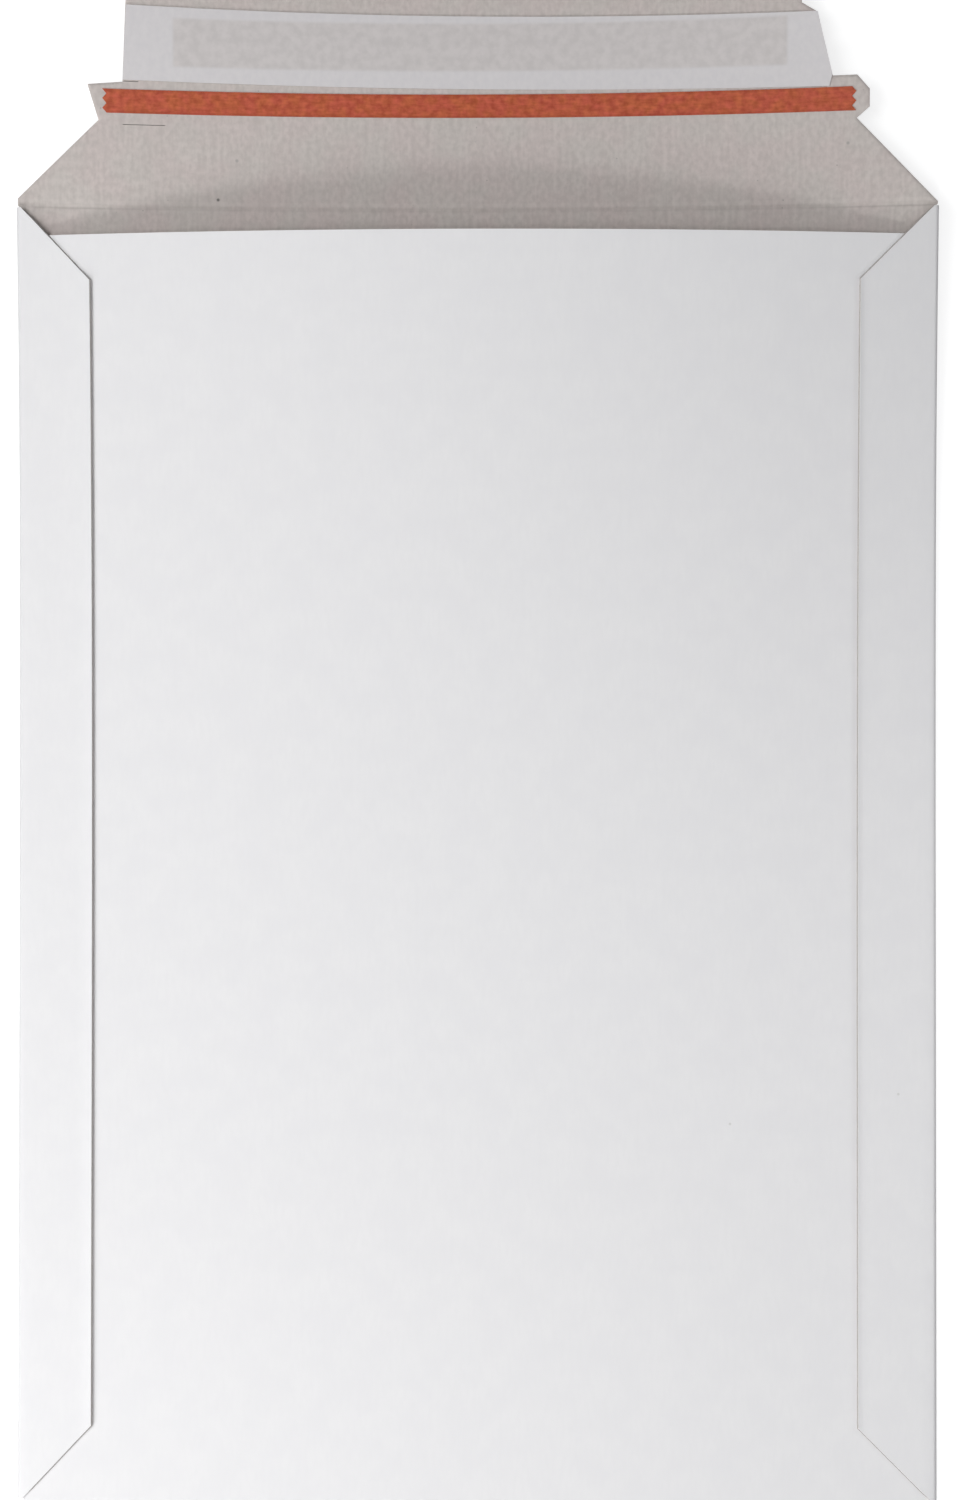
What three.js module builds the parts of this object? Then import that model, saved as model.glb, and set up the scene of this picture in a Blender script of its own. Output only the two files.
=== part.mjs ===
import * as THREE from "three";

// A card mailing envelope that lies on its address panel, with its mouth ajar and its closing flap laid open.
// Millimetres. X runs across, Y from the bottom fold towards the flap, Z up from the surface it lies on.

// Folded board
const WIDTH = 250; // over the two side folds
const HEIGHT = 353; // from the bottom fold to the closing crease
const CALIPER = 0.6; // thickness of the board
const BOTTOM_FOLD_RADIUS = 0.25; // inside the bottom fold
const MOUTH_SETBACK = 8.3; // from the crease down to the seam panel's free edge
const PANEL_CLEARANCE = 0.3; // between the seam panel's sides and the side folds

// Side flaps, folded over the seam panel and glued to it
const LEFT_FLAP_WIDTH = 20.1;
const RIGHT_FLAP_WIDTH = 21.3;
const FLAP_CHAMFER = 20; // length along the fold of the slant at each end
const FLAP_END_GAP = 0.3; // between the flaps' lower ends and the bottom fold
const SEAM_GAP = 0.2; // glue line between the seam panel and the flaps
const GLUE_THICKNESS = 0.08;
const GLUE_WIDTH = 10;
const GLUE_INSET = 4; // from a flap's free edge to its glue

// How the board curls where the mouth stands ajar
const FLAT_LENGTH = 150; // length of the address panel that lies flat
const SIDE_LIFT = 7.2; // how far the crease's ends stand above its middle
const CURL_POWER = 3; // how the address panel's curl grows along the envelope
const SEAM_FLAT_LENGTH = 100; // length of the seam panel that lies flat
const MOUTH_OPENING = 14.1; // extra height of the mouth at its middle
const MOUTH_CURL_POWER = 2; // how the seam panel's rise grows along the envelope

// Closing flap
const CREASE_WIDTH = 1.5;
const CREASE_DEPTH = 0.2;
const CORNER_INSET = 0.2; // from the side folds in to the flap's lower corners
const LEFT_CORNER_RISE = 2; // upright part of the flap's side above the crease
const RIGHT_CORNER_RISE = 0.75;
const SHOULDER_TAPER = 21.8; // how far each side slopes in, from corner to notch
const NOTCH_DROP = 1.9; // from the tear tape down to the notches
const LEFT_TAB_REACH = 2.85;
const LEFT_TAB_LENGTH = 9.5;
const LEFT_TAB_SLOPE = 0.9; // rise of the left tab's upper edge
const RIGHT_TAB_REACH = 3.4;
const RIGHT_TAB_LOW_CORNER = 2.9;
const RIGHT_TAB_STRAIGHT = 4.7;
const RIGHT_TAB_HIGH_CORNER = 3.9;
const END_INSET = 6.5; // from the notches in to the end panel's sides
const LEFT_END_LEAN = 1.1; // how far the end panel's left side leans in
const RIGHT_END_LEAN = 4.1;
const END_SHOULDER_REACH = 4.3;
const END_SHOULDER_RISE = 2.7;
const END_MARGIN = 6; // board beyond the release liner

// Slits that start the tear
const SLIT_KERF = 0.2;
const UPPER_SLIT_LENGTH = 4.3; // in from the end panel's left side
const LOWER_SLIT_LENGTH = 11.3;
const LOWER_SLIT_INSET = 6.6; // from the left notch in to the slit
const LOWER_SLIT_DROP = 1.2; // from the notches down to the slit

// Tear tape with pinked ends
const TAPE_RISE = 25.4; // from the crease up to the tape
const TAPE_WIDTH = 6.4;
const TAPE_THICKNESS = 0.1;
const TAPE_LEFT_MARGIN = 1.15; // between the left notch and the tape's end
const TAPE_RIGHT_MARGIN = 0.25;
const PINKING_DEPTH = 1.1;
const PINKING_STEPS = 5; // slants across the tape, the same at both ends because one cut makes two ends

// Adhesive strip under its release liner, which is stuck on a little askew
const STICK_GAP = 0.1; // glue line under each strip
const LINER_GAP = 1.4; // from the tape up to the liner
const LINER_WIDTH = 20;
const LINER_THICKNESS = 0.08;
const LINER_EDGE_MARGIN = 0.15; // between the liner's ends and the end panel's sides
const LINER_CORNER_REACH = 0.8; // of the slant at its lower right corner
const LINER_CORNER_RISE = 3.2;
const LINER_SKEW = -0.0115; // rise across each millimetre
const ADHESIVE_THICKNESS = 0.1;
const ADHESIVE_LOW_MARGIN = 5; // between the lower edges of the liner and the adhesive
const ADHESIVE_HIGH_MARGIN = 2;
const ADHESIVE_LEFT_MARGIN = 13.55;
const ADHESIVE_RIGHT_MARGIN = 12.15;

// Steps of the faceted surfaces
const COLUMN_PITCH = 20.8;
const COLUMN_MARGIN = 2; // least distance of a column from an edge
const FLAT_ROW_PITCH = 45; // along the flat length
const PANEL_ROW_PITCH = 16; // on to the crease
const FLAP_ROW_PITCH = 6; // on the closing flap
const FOLD_STEPS = 6;

// Finishes of the board and of what is stuck to it
const WHITE_BOARD = { color: 0xe9e8e6, roughness: 0.75, metalness: 0 };
const RED_TAPE = { color: 0xb2543a, roughness: 0.45, metalness: 0 };
const GREY_ADHESIVE = { color: 0xc4bfb8, roughness: 0.5, metalness: 0 };
const WHITE_LINER = { color: 0xeeeef0, roughness: 0.35, metalness: 0 };
const CREAM_GLUE = { color: 0xd9d0b9, roughness: 0.6, metalness: 0 };

// Sizes that follow from the ones above
const bottomFoldOuter = BOTTOM_FOLD_RADIUS + CALIPER;
const bottomArc = Math.PI * (BOTTOM_FOLD_RADIUS + CALIPER / 2);
const pocketGap = 2 * BOTTOM_FOLD_RADIUS;
const sideFoldInner = (pocketGap + CALIPER + SEAM_GAP) / 2;
const sideFoldOuter = sideFoldInner + CALIPER;
const sideArc = Math.PI * (sideFoldInner + CALIPER / 2);
const foldStart = WIDTH / 2 - sideFoldOuter;
const foldEnd = foldStart + sideArc;
const seamHalf = foldStart - PANEL_CLEARANCE;
const mouth = HEIGHT - MOUTH_SETBACK;
const creaseLow = HEIGHT - CREASE_WIDTH / 2;
const creaseHigh = HEIGHT + CREASE_WIDTH / 2;
const sideLow = bottomFoldOuter + FLAP_END_GAP;
const tapeLow = HEIGHT + TAPE_RISE;
const tapeHigh = tapeLow + TAPE_WIDTH;
const notch = tapeLow - NOTCH_DROP;
const cornerHalf = WIDTH / 2 - CORNER_INSET;
const notchHalf = cornerHalf - SHOULDER_TAPER;
const endHalf = notchHalf - END_INSET;
const linerLow = tapeHigh + LINER_GAP;
const linerHigh = linerLow + LINER_WIDTH;
const boardEnd = linerHigh + END_MARGIN;
const leftTabTip = notch + LEFT_TAB_LENGTH;
const leftTabTop = leftTabTip + LEFT_TAB_SLOPE;
const rightTabLow = notch + RIGHT_TAB_LOW_CORNER;
const rightTabHigh = rightTabLow + RIGHT_TAB_STRAIGHT;
const rightTabTop = rightTabHigh + RIGHT_TAB_HIGH_CORNER;
const rightShoulder = linerHigh + LINER_SKEW * endHalf;
const leftShoulder = boardEnd - END_SHOULDER_RISE;
const lowerSlit = notch - LOWER_SLIT_DROP;
const lowerSlitStart = LOWER_SLIT_INSET - notchHalf;

// Growth of a curl along the envelope, from nothing at its start to one at its full row
const curl = (y, start, full, power) => (Math.max(0, y - start) / (full - start)) ** power;

// Outer face of the address panel and of the closing flap that carries on from it
function addressUnder(x, y) {
  return SIDE_LIFT * curl(y, FLAT_LENGTH, HEIGHT, CURL_POWER) * (x / (WIDTH / 2)) ** 2;
}

// Outer face of the seam panel, which bows up over the pocket
function seamTop(x, y) {
  const bow = Math.max(0, 1 - (x / seamHalf) ** 2);
  const rise = MOUTH_OPENING * curl(y, SEAM_FLAT_LENGTH, mouth, MOUTH_CURL_POWER);
  const pocket = pocketGap + rise * bow;
  return addressUnder(x, y) + CALIPER + pocket + CALIPER;
}

// Board thickness in the open, less the groove along the crease
function caliperAt(y) {
  const fromCrease = Math.abs(y - HEIGHT) / (CREASE_WIDTH / 2);
  return CALIPER - CREASE_DEPTH * Math.max(0, 1 - fromCrease);
}

// Place on the folded board of a point of the flat blank: face 0 is the outside, face 1 the inside.
// Its rows count from the bottom fold, up over the address panel and flap and down over the seam panel.
function foldBoard(across, row, face) {
  const bottomAngle = (bottomFoldOuter - row) / (bottomArc / Math.PI);
  if (bottomAngle > Math.PI) {
    const y = bottomFoldOuter + (bottomFoldOuter - bottomArc - row);
    return [across, y, seamTop(across, y) - face * CALIPER];
  }
  if (bottomAngle > 0) {
    const radius = bottomFoldOuter - face * CALIPER;
    const y = bottomFoldOuter - radius * Math.sin(bottomAngle);
    return [across, y, bottomFoldOuter - radius * Math.cos(bottomAngle)];
  }
  const side = Math.sign(across);
  const beyond = Math.abs(across) - foldStart;
  if (beyond <= 0 || row > creaseLow) {
    return [across, row, addressUnder(across, row) + face * caliperAt(row)];
  }
  if (beyond < sideArc) {
    const angle = beyond / (sideArc / Math.PI);
    const radius = sideFoldOuter - face * CALIPER;
    const height = addressUnder(foldStart, row) + sideFoldOuter - radius * Math.cos(angle);
    return [side * (foldStart + radius * Math.sin(angle)), row, height];
  }
  const x = side * (foldStart - (beyond - sideArc));
  return [x, row, seamTop(x, row) + SEAM_GAP + (1 - face) * CALIPER];
}

// Place of a point of a strip stuck on the closing flap, at a height above its inner face
function onFlap(across, row, height) {
  return [across, row, addressUnder(across, row) + CALIPER + height];
}

// Place across at a row of an edge, given as [row, across] points that may jump where a row comes twice
function edgeAt(edge, row, fromAbove) {
  const next = edge.findIndex(([r]) => (fromAbove ? r > row : r >= row));
  if (next === -1) return edge.at(-1)[1];
  if (next === 0) return edge[0][1];
  const [startRow, start] = edge[next - 1];
  const [endRow, end] = edge[next];
  return THREE.MathUtils.mapLinear(row, startRow, endRow, start, end);
}

// Longest step between rows at a distance from the bottom fold
function rowPitch(y) {
  if (y < SEAM_FLAT_LENGTH) return FLAT_ROW_PITCH;
  return y < HEIGHT ? PANEL_ROW_PITCH : FLAP_ROW_PITCH;
}

// Rows in order, with the spans between them split into even steps
function divide(breaks, pitchAt = rowPitch) {
  const sorted = [...new Set(breaks)].sort((a, b) => a - b);
  return sorted.flatMap((start, i) => {
    const span = (sorted[i + 1] ?? start) - start;
    const steps = Math.max(1, Math.ceil(span / pitchAt(start)));
    return Array.from({ length: steps }, (_, k) => start + (span * k) / steps);
  });
}

// Columns that the flap and its strips share, so that what lies on another follows its facets
function columnsWithin(low, high) {
  const reach = Math.ceil(WIDTH / COLUMN_PITCH);
  const all = Array.from({ length: 2 * reach + 1 }, (_, k) => (k - reach) * COLUMN_PITCH);
  return all.filter((x) => x > low + COLUMN_MARGIN && x < high - COLUMN_MARGIN);
}

// Columns of a side seam, as distances from the middle: a flap's free edge and the two edges of its glue
function seamColumns(flapWidth) {
  const freeEdge = WIDTH / 2 - flapWidth;
  const glueStart = freeEdge + GLUE_INSET;
  return [freeEdge, glueStart, glueStart + GLUE_WIDTH];
}

// Triangles between two rows of points, each in order across
function zip(lower, upper) {
  const triangles = [];
  let i = 0;
  let j = 0;
  while (i < lower.length - 1 || j < upper.length - 1) {
    const lowerLeft = i < lower.length - 1;
    const upperLeft = j < upper.length - 1;
    if (lowerLeft && (!upperLeft || lower[i + 1].across <= upper[j + 1].across)) {
      triangles.push([lower[i], lower[i + 1], upper[j]]);
      i += 1;
    } else {
      triangles.push([lower[i], upper[j + 1], upper[j]]);
      j += 1;
    }
  }
  return triangles;
}

// Flat blank between a left and a right edge, cut into triangles row by row and opened along its slits
function cutBlank({ rows, left, right, columns, slits = [] }) {
  const points = new Map();
  const pointAt = (across, row) => {
    const key = `${across.toFixed(4)} ${row.toFixed(4)}`;
    if (!points.has(key)) points.set(key, { across, row, index: points.size });
    return points.get(key);
  };
  const rowPoints = (row, fromAbove) => {
    const ends = [left, right].flatMap((edge) => [edgeAt(edge, row, true), edgeAt(edge, row, false)]);
    const start = edgeAt(left, row, fromAbove);
    const end = edgeAt(right, row, fromAbove);
    const slitEnds = slits.filter((slit) => slit.rows.includes(row)).flatMap((slit) => slit.across);
    const inner = columns.filter((x) => ends.every((e) => Math.abs(x - e) > SLIT_KERF));
    const within = [...ends, ...slitEnds, ...inner].filter((x) => x >= start && x <= end);
    return [...new Set(within)].sort((a, b) => a - b).map((x) => pointAt(x, row));
  };
  const inSlit = (triangle) =>
    slits.some(({ across, rows: [low, high] }) =>
      triangle.every(
        (p) => p.across >= across[0] && p.across <= across[1] && p.row >= low && p.row <= high,
      ),
    );
  const triangles = rows.slice(1).flatMap((row, i) => {
    return zip(rowPoints(rows[i], true), rowPoints(row, false));
  });
  const kept = triangles.filter((triangle) => !inSlit(triangle));
  return { points: [...points.values()], triangles: kept };
}

// Closed solid from a blank: its two faces, and a wall along every edge that only one triangle has
function thicken({ points, triangles }, place) {
  const count = points.length;
  const corners = [0, 1].flatMap((face) => points.flatMap((p) => place(p.across, p.row, face)));
  const openEdges = new Map();
  const index = [];
  for (const triangle of triangles) {
    const [a, b, c] = triangle.map((p) => p.index);
    index.push(a, c, b, a + count, b + count, c + count);
    for (const [from, to] of [[a, b], [b, c], [c, a]]) {
      const matched = openEdges.delete(`${to} ${from}`);
      if (!matched) openEdges.set(`${from} ${to}`, [from, to]);
    }
  }
  for (const [from, to] of openEdges.values()) {
    index.push(from, to, to + count, from, to + count, from + count);
  }
  const geometry = new THREE.BufferGeometry();
  geometry.setAttribute("position", new THREE.Float32BufferAttribute(corners, 3));
  geometry.setIndex(index);
  geometry.computeVertexNormals();
  return geometry;
}

// Named mesh with the middle of the envelope's length at the origin
function piece(name, geometry, finish) {
  const mesh = new THREE.Mesh(geometry, new THREE.MeshStandardMaterial(finish));
  mesh.name = name;
  mesh.position.y = -boardEnd / 2;
  return mesh;
}

// One side of the blank, from the seam panel's mouth round to the flap's end, as distances from the middle
function blankSide(flapWidth, cornerRise, flapOutline) {
  const flapEdge = foldEnd + foldStart - (WIDTH / 2 - flapWidth);
  return [
    [bottomFoldOuter - bottomArc, seamHalf],
    [bottomFoldOuter, seamHalf],
    [bottomFoldOuter, foldStart],
    [sideLow, foldStart],
    [sideLow, foldEnd],
    [sideLow + FLAP_CHAMFER, flapEdge],
    [creaseLow - FLAP_CHAMFER, flapEdge],
    [creaseLow, foldEnd],
    [creaseLow, foldStart],
    [HEIGHT, cornerHalf],
    [HEIGHT + cornerRise, cornerHalf],
    [notch, notchHalf],
    ...flapOutline,
  ];
}

const leftFlapOutline = [
  [leftTabTip, notchHalf + LEFT_TAB_REACH],
  [leftTabTop, endHalf],
  [leftShoulder, endHalf - LEFT_END_LEAN],
  [boardEnd, endHalf - LEFT_END_LEAN - END_SHOULDER_REACH],
];

const rightFlapOutline = [
  [rightTabLow, notchHalf + RIGHT_TAB_REACH],
  [rightTabHigh, notchHalf + RIGHT_TAB_REACH],
  [rightTabTop, notchHalf],
  [rightTabTop, endHalf],
  [rightShoulder, endHalf - RIGHT_END_LEAN],
  [rightShoulder + END_SHOULDER_RISE, endHalf - RIGHT_END_LEAN - END_SHOULDER_REACH],
  [boardEnd, endHalf - RIGHT_END_LEAN - END_SHOULDER_REACH],
];

const tearSlits = [
  {
    across: [-endHalf - END_INSET, UPPER_SLIT_LENGTH - endHalf],
    rows: [leftTabTop, leftTabTop + SLIT_KERF],
  },
  {
    across: [lowerSlitStart, lowerSlitStart + LOWER_SLIT_LENGTH],
    rows: [lowerSlit, lowerSlit + SLIT_KERF],
  },
];

function foldedBoard() {
  const mirrored = (edge) => edge.map(([row, across]) => [row, -across]);
  const left = mirrored(blankSide(LEFT_FLAP_WIDTH, LEFT_CORNER_RISE, leftFlapOutline));
  const right = blankSide(RIGHT_FLAP_WIDTH, RIGHT_CORNER_RISE, rightFlapOutline);
  const outlineRows = [...left, ...right].map(([row]) => row).filter((row) => row >= bottomFoldOuter);
  const slitRows = tearSlits.flatMap((slit) => slit.rows);
  const curlRows = [SEAM_FLAT_LENGTH, FLAT_LENGTH, mouth, creaseHigh];
  const openRows = divide([...outlineRows, ...slitRows, ...curlRows]);
  const foldSteps = Array.from({ length: FOLD_STEPS }, (_, k) => k / FOLD_STEPS);
  const foldRows = foldSteps.map((share) => bottomFoldOuter - bottomArc * (1 - share));
  const seamRows = openRows
    .filter((y) => y > bottomFoldOuter && y <= mouth)
    .map((y) => 2 * bottomFoldOuter - bottomArc - y)
    .reverse();
  const leftSeam = seamColumns(LEFT_FLAP_WIDTH);
  const rightSeam = seamColumns(RIGHT_FLAP_WIDTH);
  const foldColumns = [...foldSteps, 1].map((share) => foldStart + sideArc * share);
  const sideColumns = (seam) => [...seam, ...foldColumns, ...seam.map((x) => foldEnd + foldStart - x)];
  const columns = [
    ...sideColumns(leftSeam).map((x) => -x),
    ...columnsWithin(-leftSeam[0], rightSeam[0]),
    ...sideColumns(rightSeam),
  ];
  const rows = [...seamRows, ...foldRows, ...openRows];
  const geometry = thicken(cutBlank({ rows, left, right, columns, slits: tearSlits }), foldBoard);
  return piece("folded_board", geometry, WHITE_BOARD);
}

function tearTape() {
  const leftEnd = TAPE_LEFT_MARGIN - notchHalf;
  const rightEnd = notchHalf - TAPE_RIGHT_MARGIN - PINKING_DEPTH;
  const steps = Array.from({ length: PINKING_STEPS + 1 }, (_, k) => k);
  const rows = steps.map((k) => tapeLow + (TAPE_WIDTH * k) / PINKING_STEPS);
  const pinked = (end) => rows.map((row, k) => [row, k % 2 ? end : end + PINKING_DEPTH]);
  const blank = cutBlank({
    rows,
    left: pinked(leftEnd),
    right: pinked(rightEnd),
    columns: columnsWithin(leftEnd + PINKING_DEPTH, rightEnd),
  });
  const place = (across, row, face) => onFlap(across, row, STICK_GAP + face * TAPE_THICKNESS);
  return piece("tear_tape", thicken(blank, place), RED_TAPE);
}

// Strip stuck on the end panel, with rows counted from the liner's lower edge
function endPanelStrip({ name, left, right, skew = 0, height, thickness, finish }) {
  const breaks = [...left, ...right].map(([row]) => row);
  const rows = divide(breaks, () => FLAP_ROW_PITCH);
  const columns = columnsWithin(left[0][1], right.at(-1)[1]);
  const blank = cutBlank({ rows, left, right, columns });
  const place = (across, row, face) =>
    onFlap(across, linerLow + row + skew * across, height + face * thickness);
  return piece(name, thicken(blank, place), finish);
}

const linerLeft = LINER_EDGE_MARGIN - endHalf;
const linerRight = endHalf - LINER_EDGE_MARGIN;
const linerRightHigh = linerRight - RIGHT_END_LEAN;

function adhesiveStrip() {
  const rows = [ADHESIVE_LOW_MARGIN, LINER_WIDTH - ADHESIVE_HIGH_MARGIN];
  const left = rows.map((row) => [row, linerLeft + ADHESIVE_LEFT_MARGIN]);
  const right = rows.map((row) => [row, linerRight - ADHESIVE_RIGHT_MARGIN]);
  return endPanelStrip({
    name: "adhesive_strip",
    left,
    right,
    height: STICK_GAP,
    thickness: ADHESIVE_THICKNESS,
    finish: GREY_ADHESIVE,
  });
}

function releaseLiner() {
  const left = [
    [0, linerLeft],
    [LINER_WIDTH, linerLeft + LEFT_END_LEAN],
  ];
  const right = [
    [0, linerRight - LINER_CORNER_REACH],
    [LINER_CORNER_RISE, linerRight],
    [LINER_WIDTH, linerRightHigh],
  ];
  return endPanelStrip({
    name: "release_liner",
    left,
    right,
    skew: LINER_SKEW,
    height: 2 * STICK_GAP + ADHESIVE_THICKNESS,
    thickness: LINER_THICKNESS,
    finish: WHITE_LINER,
  });
}

// Glue between the seam panel and a side flap, on the left for side -1 and on the right for side 1
// Its rows count down from the mouth, as the seam panel's do, so that both have the same facets.
function seamGlue(name, side, flapWidth) {
  const [start, end] = seamColumns(flapWidth)
    .slice(1)
    .map((x) => side * x)
    .sort((a, b) => a - b);
  const rows = divide([sideLow + FLAP_CHAMFER, SEAM_FLAT_LENGTH, FLAT_LENGTH, creaseLow - FLAP_CHAMFER])
    .map((y) => -y)
    .reverse();
  const blank = cutBlank({
    rows,
    left: rows.map((row) => [row, start]),
    right: rows.map((row) => [row, end]),
    columns: [],
  });
  const clearance = (SEAM_GAP - GLUE_THICKNESS) / 2;
  const place = (x, row, face) => {
    const height = clearance + (1 - face) * GLUE_THICKNESS;
    return [x, -row, seamTop(x, -row) + height];
  };
  return piece(name, thicken(blank, place), CREAM_GLUE);
}

const envelope = new THREE.Group();
envelope.add(
  foldedBoard(),
  seamGlue("left_seam_glue", -1, LEFT_FLAP_WIDTH),
  seamGlue("right_seam_glue", 1, RIGHT_FLAP_WIDTH),
  tearTape(),
  adhesiveStrip(),
  releaseLiner(),
);

export default envelope;
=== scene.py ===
import math

import bmesh
import bpy
from mathutils import Matrix, Vector, geometry


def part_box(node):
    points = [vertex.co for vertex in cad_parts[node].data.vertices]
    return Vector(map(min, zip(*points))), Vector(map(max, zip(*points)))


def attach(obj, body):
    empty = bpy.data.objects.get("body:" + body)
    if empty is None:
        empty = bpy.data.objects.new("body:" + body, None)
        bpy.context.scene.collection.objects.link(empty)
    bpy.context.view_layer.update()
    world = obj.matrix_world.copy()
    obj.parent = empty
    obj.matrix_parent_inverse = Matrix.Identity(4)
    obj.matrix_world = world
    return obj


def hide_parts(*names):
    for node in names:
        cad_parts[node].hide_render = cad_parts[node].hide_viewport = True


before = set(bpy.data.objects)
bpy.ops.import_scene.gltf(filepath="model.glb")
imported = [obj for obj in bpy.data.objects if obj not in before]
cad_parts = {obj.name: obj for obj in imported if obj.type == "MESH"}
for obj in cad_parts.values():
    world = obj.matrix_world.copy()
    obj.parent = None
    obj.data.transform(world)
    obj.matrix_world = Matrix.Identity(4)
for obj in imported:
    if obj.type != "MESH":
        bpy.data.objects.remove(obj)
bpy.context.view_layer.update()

# A card mailing envelope that lies on its address panel, with its mouth ajar and its closing flap laid open.
# Metres. Rows count along the envelope from the bottom fold, and across is counted from its middle.
MM = 0.001

# Folded board
board_low, board_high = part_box("folded_board")
WIDTH = board_high.x - board_low.x
BOTTOM = board_low.y
END = board_high.y - board_low.y
HEIGHT = 353 * MM  # from the bottom fold to the closing crease
CALIPER = 0.6 * MM
BOTTOM_FOLD_RADIUS = 0.25 * MM
MOUTH = HEIGHT - 8.3 * MM  # the seam panel's free edge
PANEL_CLEARANCE = 0.3 * MM

# Side flaps, folded over the seam panel and glued to it
LEFT_FLAP_WIDTH = 20.1 * MM
RIGHT_FLAP_WIDTH = 21.3 * MM
FLAP_CHAMFER = 20 * MM
FLAP_END_GAP = 0.3 * MM
SEAM_GAP = 0.2 * MM
GLUE_INSET = 4 * MM
LEFT_EDGE_LIFT = 0.7 * MM  # how far the free edges spring up beside the glue, towards the mouth
RIGHT_EDGE_LIFT = 0.35 * MM
LEFT_EDGE_POWER = 2
RIGHT_EDGE_POWER = 4
BOTTOM_LIFT_SHARE = 0.65  # of the lift that is left at the bottom fold
CORE_RUNOUT = 0.35 * MM  # how far the slanting cut leaves the core out beyond the white lining

# How the board curls where the mouth stands ajar
FLAT_LENGTH = 150 * MM  # of the address panel
SIDE_LIFT = 7.2 * MM
CURL_POWER = 3
SEAM_FLAT_LENGTH = 100 * MM
MOUTH_OPENING = 14.1 * MM
MOUTH_CURL_POWER = 2

# Closing flap
CREASE_WIDTH = 1.5 * MM
CREASE_DEPTH = 0.2 * MM
CORNER_INSET = 0.2 * MM
LEFT_CORNER_RISE = 2 * MM
RIGHT_CORNER_RISE = 0.75 * MM
SHOULDER_TAPER = 21.8 * MM
NOTCH_DROP = 1.9 * MM
LEFT_TAB_REACH = 2.85 * MM
LEFT_TAB_LENGTH = 9.5 * MM
LEFT_TAB_SLOPE = 0.9 * MM
RIGHT_TAB_REACH = 3.4 * MM
RIGHT_TAB_LOW_CORNER = 2.9 * MM
RIGHT_TAB_STRAIGHT = 4.7 * MM
RIGHT_TAB_HIGH_CORNER = 3.9 * MM
END_INSET = 6.5 * MM
LEFT_END_LEAN = 1.1 * MM
RIGHT_END_LEAN = 4.1 * MM
END_SHOULDER_REACH = 4.3 * MM
END_SHOULDER_RISE = 2.7 * MM
SLIT_KERF = 0.2 * MM
UPPER_SLIT_LENGTH = 4.3 * MM
LOWER_SLIT_LENGTH = 11.3 * MM
LOWER_SLIT_INSET = 6.6 * MM
LOWER_SLIT_DROP = 1.2 * MM
SLIT_CLOSING = 0.9  # share of the kerf that is lost on the way to the outside
EDGE_CRUSH = 0.3 * MM  # how far the cutting die rounds the flap's inner edges down
CRUSH_WIDTH = 1.0 * MM

# Strips on the closing flap
PINKING_DEPTH = 1.1 * MM
PINKING_STEPS = 5
STICK_GAP = 0.1 * MM
TAPE_THICKNESS = 0.1 * MM
LINER_GAP = 1.4 * MM
LINER_WIDTH = 20 * MM
LINER_THICKNESS = 0.08 * MM
LINER_EDGE_MARGIN = 0.15 * MM
LINER_CORNER_REACH = 0.8 * MM
LINER_CORNER_RISE = 3.2 * MM
LINER_SKEW = -0.0115
ADHESIVE_THICKNESS = 0.1 * MM
GLUE_THICKNESS = 0.08 * MM

# Steps of the modelled surfaces
COLUMN_PITCH = 3 * MM
FLAT_PITCH = 10 * MM
CURL_PITCH = 4 * MM
FLAP_PITCH = 2 * MM
EDGE_PITCH = 0.5 * MM  # towards a side flap's free edge
CRUSH_STEPS = 4
CRUSH_REACH = 3 * MM  # how far from the edge the faces are that the crushed rim can cross
FOLD_STEPS = 10
CREASE_STEPS = 10
CUT_TOLERANCE = 0.0001 * MM
SHARP_ANGLE = math.radians(35)  # an edge that turns further than this stays crisp
UPRIGHT_LIMIT = 0.5  # a face of the flat sheet whose normal rises less than this is a cut edge

# The three kinds of face on a sheet, by the number of their material
OUTSIDE, INSIDE, CUT = 0, 1, 2

# Parts of a noise's range over which a finish changes
WIDE_SPAN = (0.2, 0.8)
EVEN_SPAN = (0.25, 0.75)
SOFT_SPAN = (0.3, 0.7)
QUICK_SPAN = (0.35, 0.65)
SUM_SPAN = (0.45, 1.05)  # of a grain with its streaks added
STREAK_SHARE = 0.5  # of the streaks that is added to a grain

# White lining
LINING_CLOUD_SIZE = 9 * MM
LINING_FIBRE_SIZE = 1.2 * MM
LINING_FIBRE_STRETCH = (1, 0.25, 1)
LINING_FIBRE_SPAN = (0.35, 0.75)
LINING_FIBRE_SHARE = 0.5
LINING_TOOTH_SIZE = 0.5 * MM
LINING_TOOTH_DEPTH = 0.012 * MM
LINING_ROUGHNESS = (0.5, 0.62)
LINING_DULL = (0.828, 0.8225, 0.8335)
LINING_BRIGHT = (0.848, 0.8425, 0.8485)
LINING_FIBRE = (0.818, 0.8125, 0.8215)
LINING_SPECK = (0.69, 0.69, 0.68)
LINING_SPECK_RADIUS = 0.5 * MM
PANEL_SPECK = (69 * MM, 103.4 * MM)  # across and row on the folded seam panel
FLAP_SPECK = (114.6 * MM, 111.7 * MM)  # on the folded right flap
SPECK_CORE = 1 / 3  # of a speck's radius that has its full tone

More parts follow.
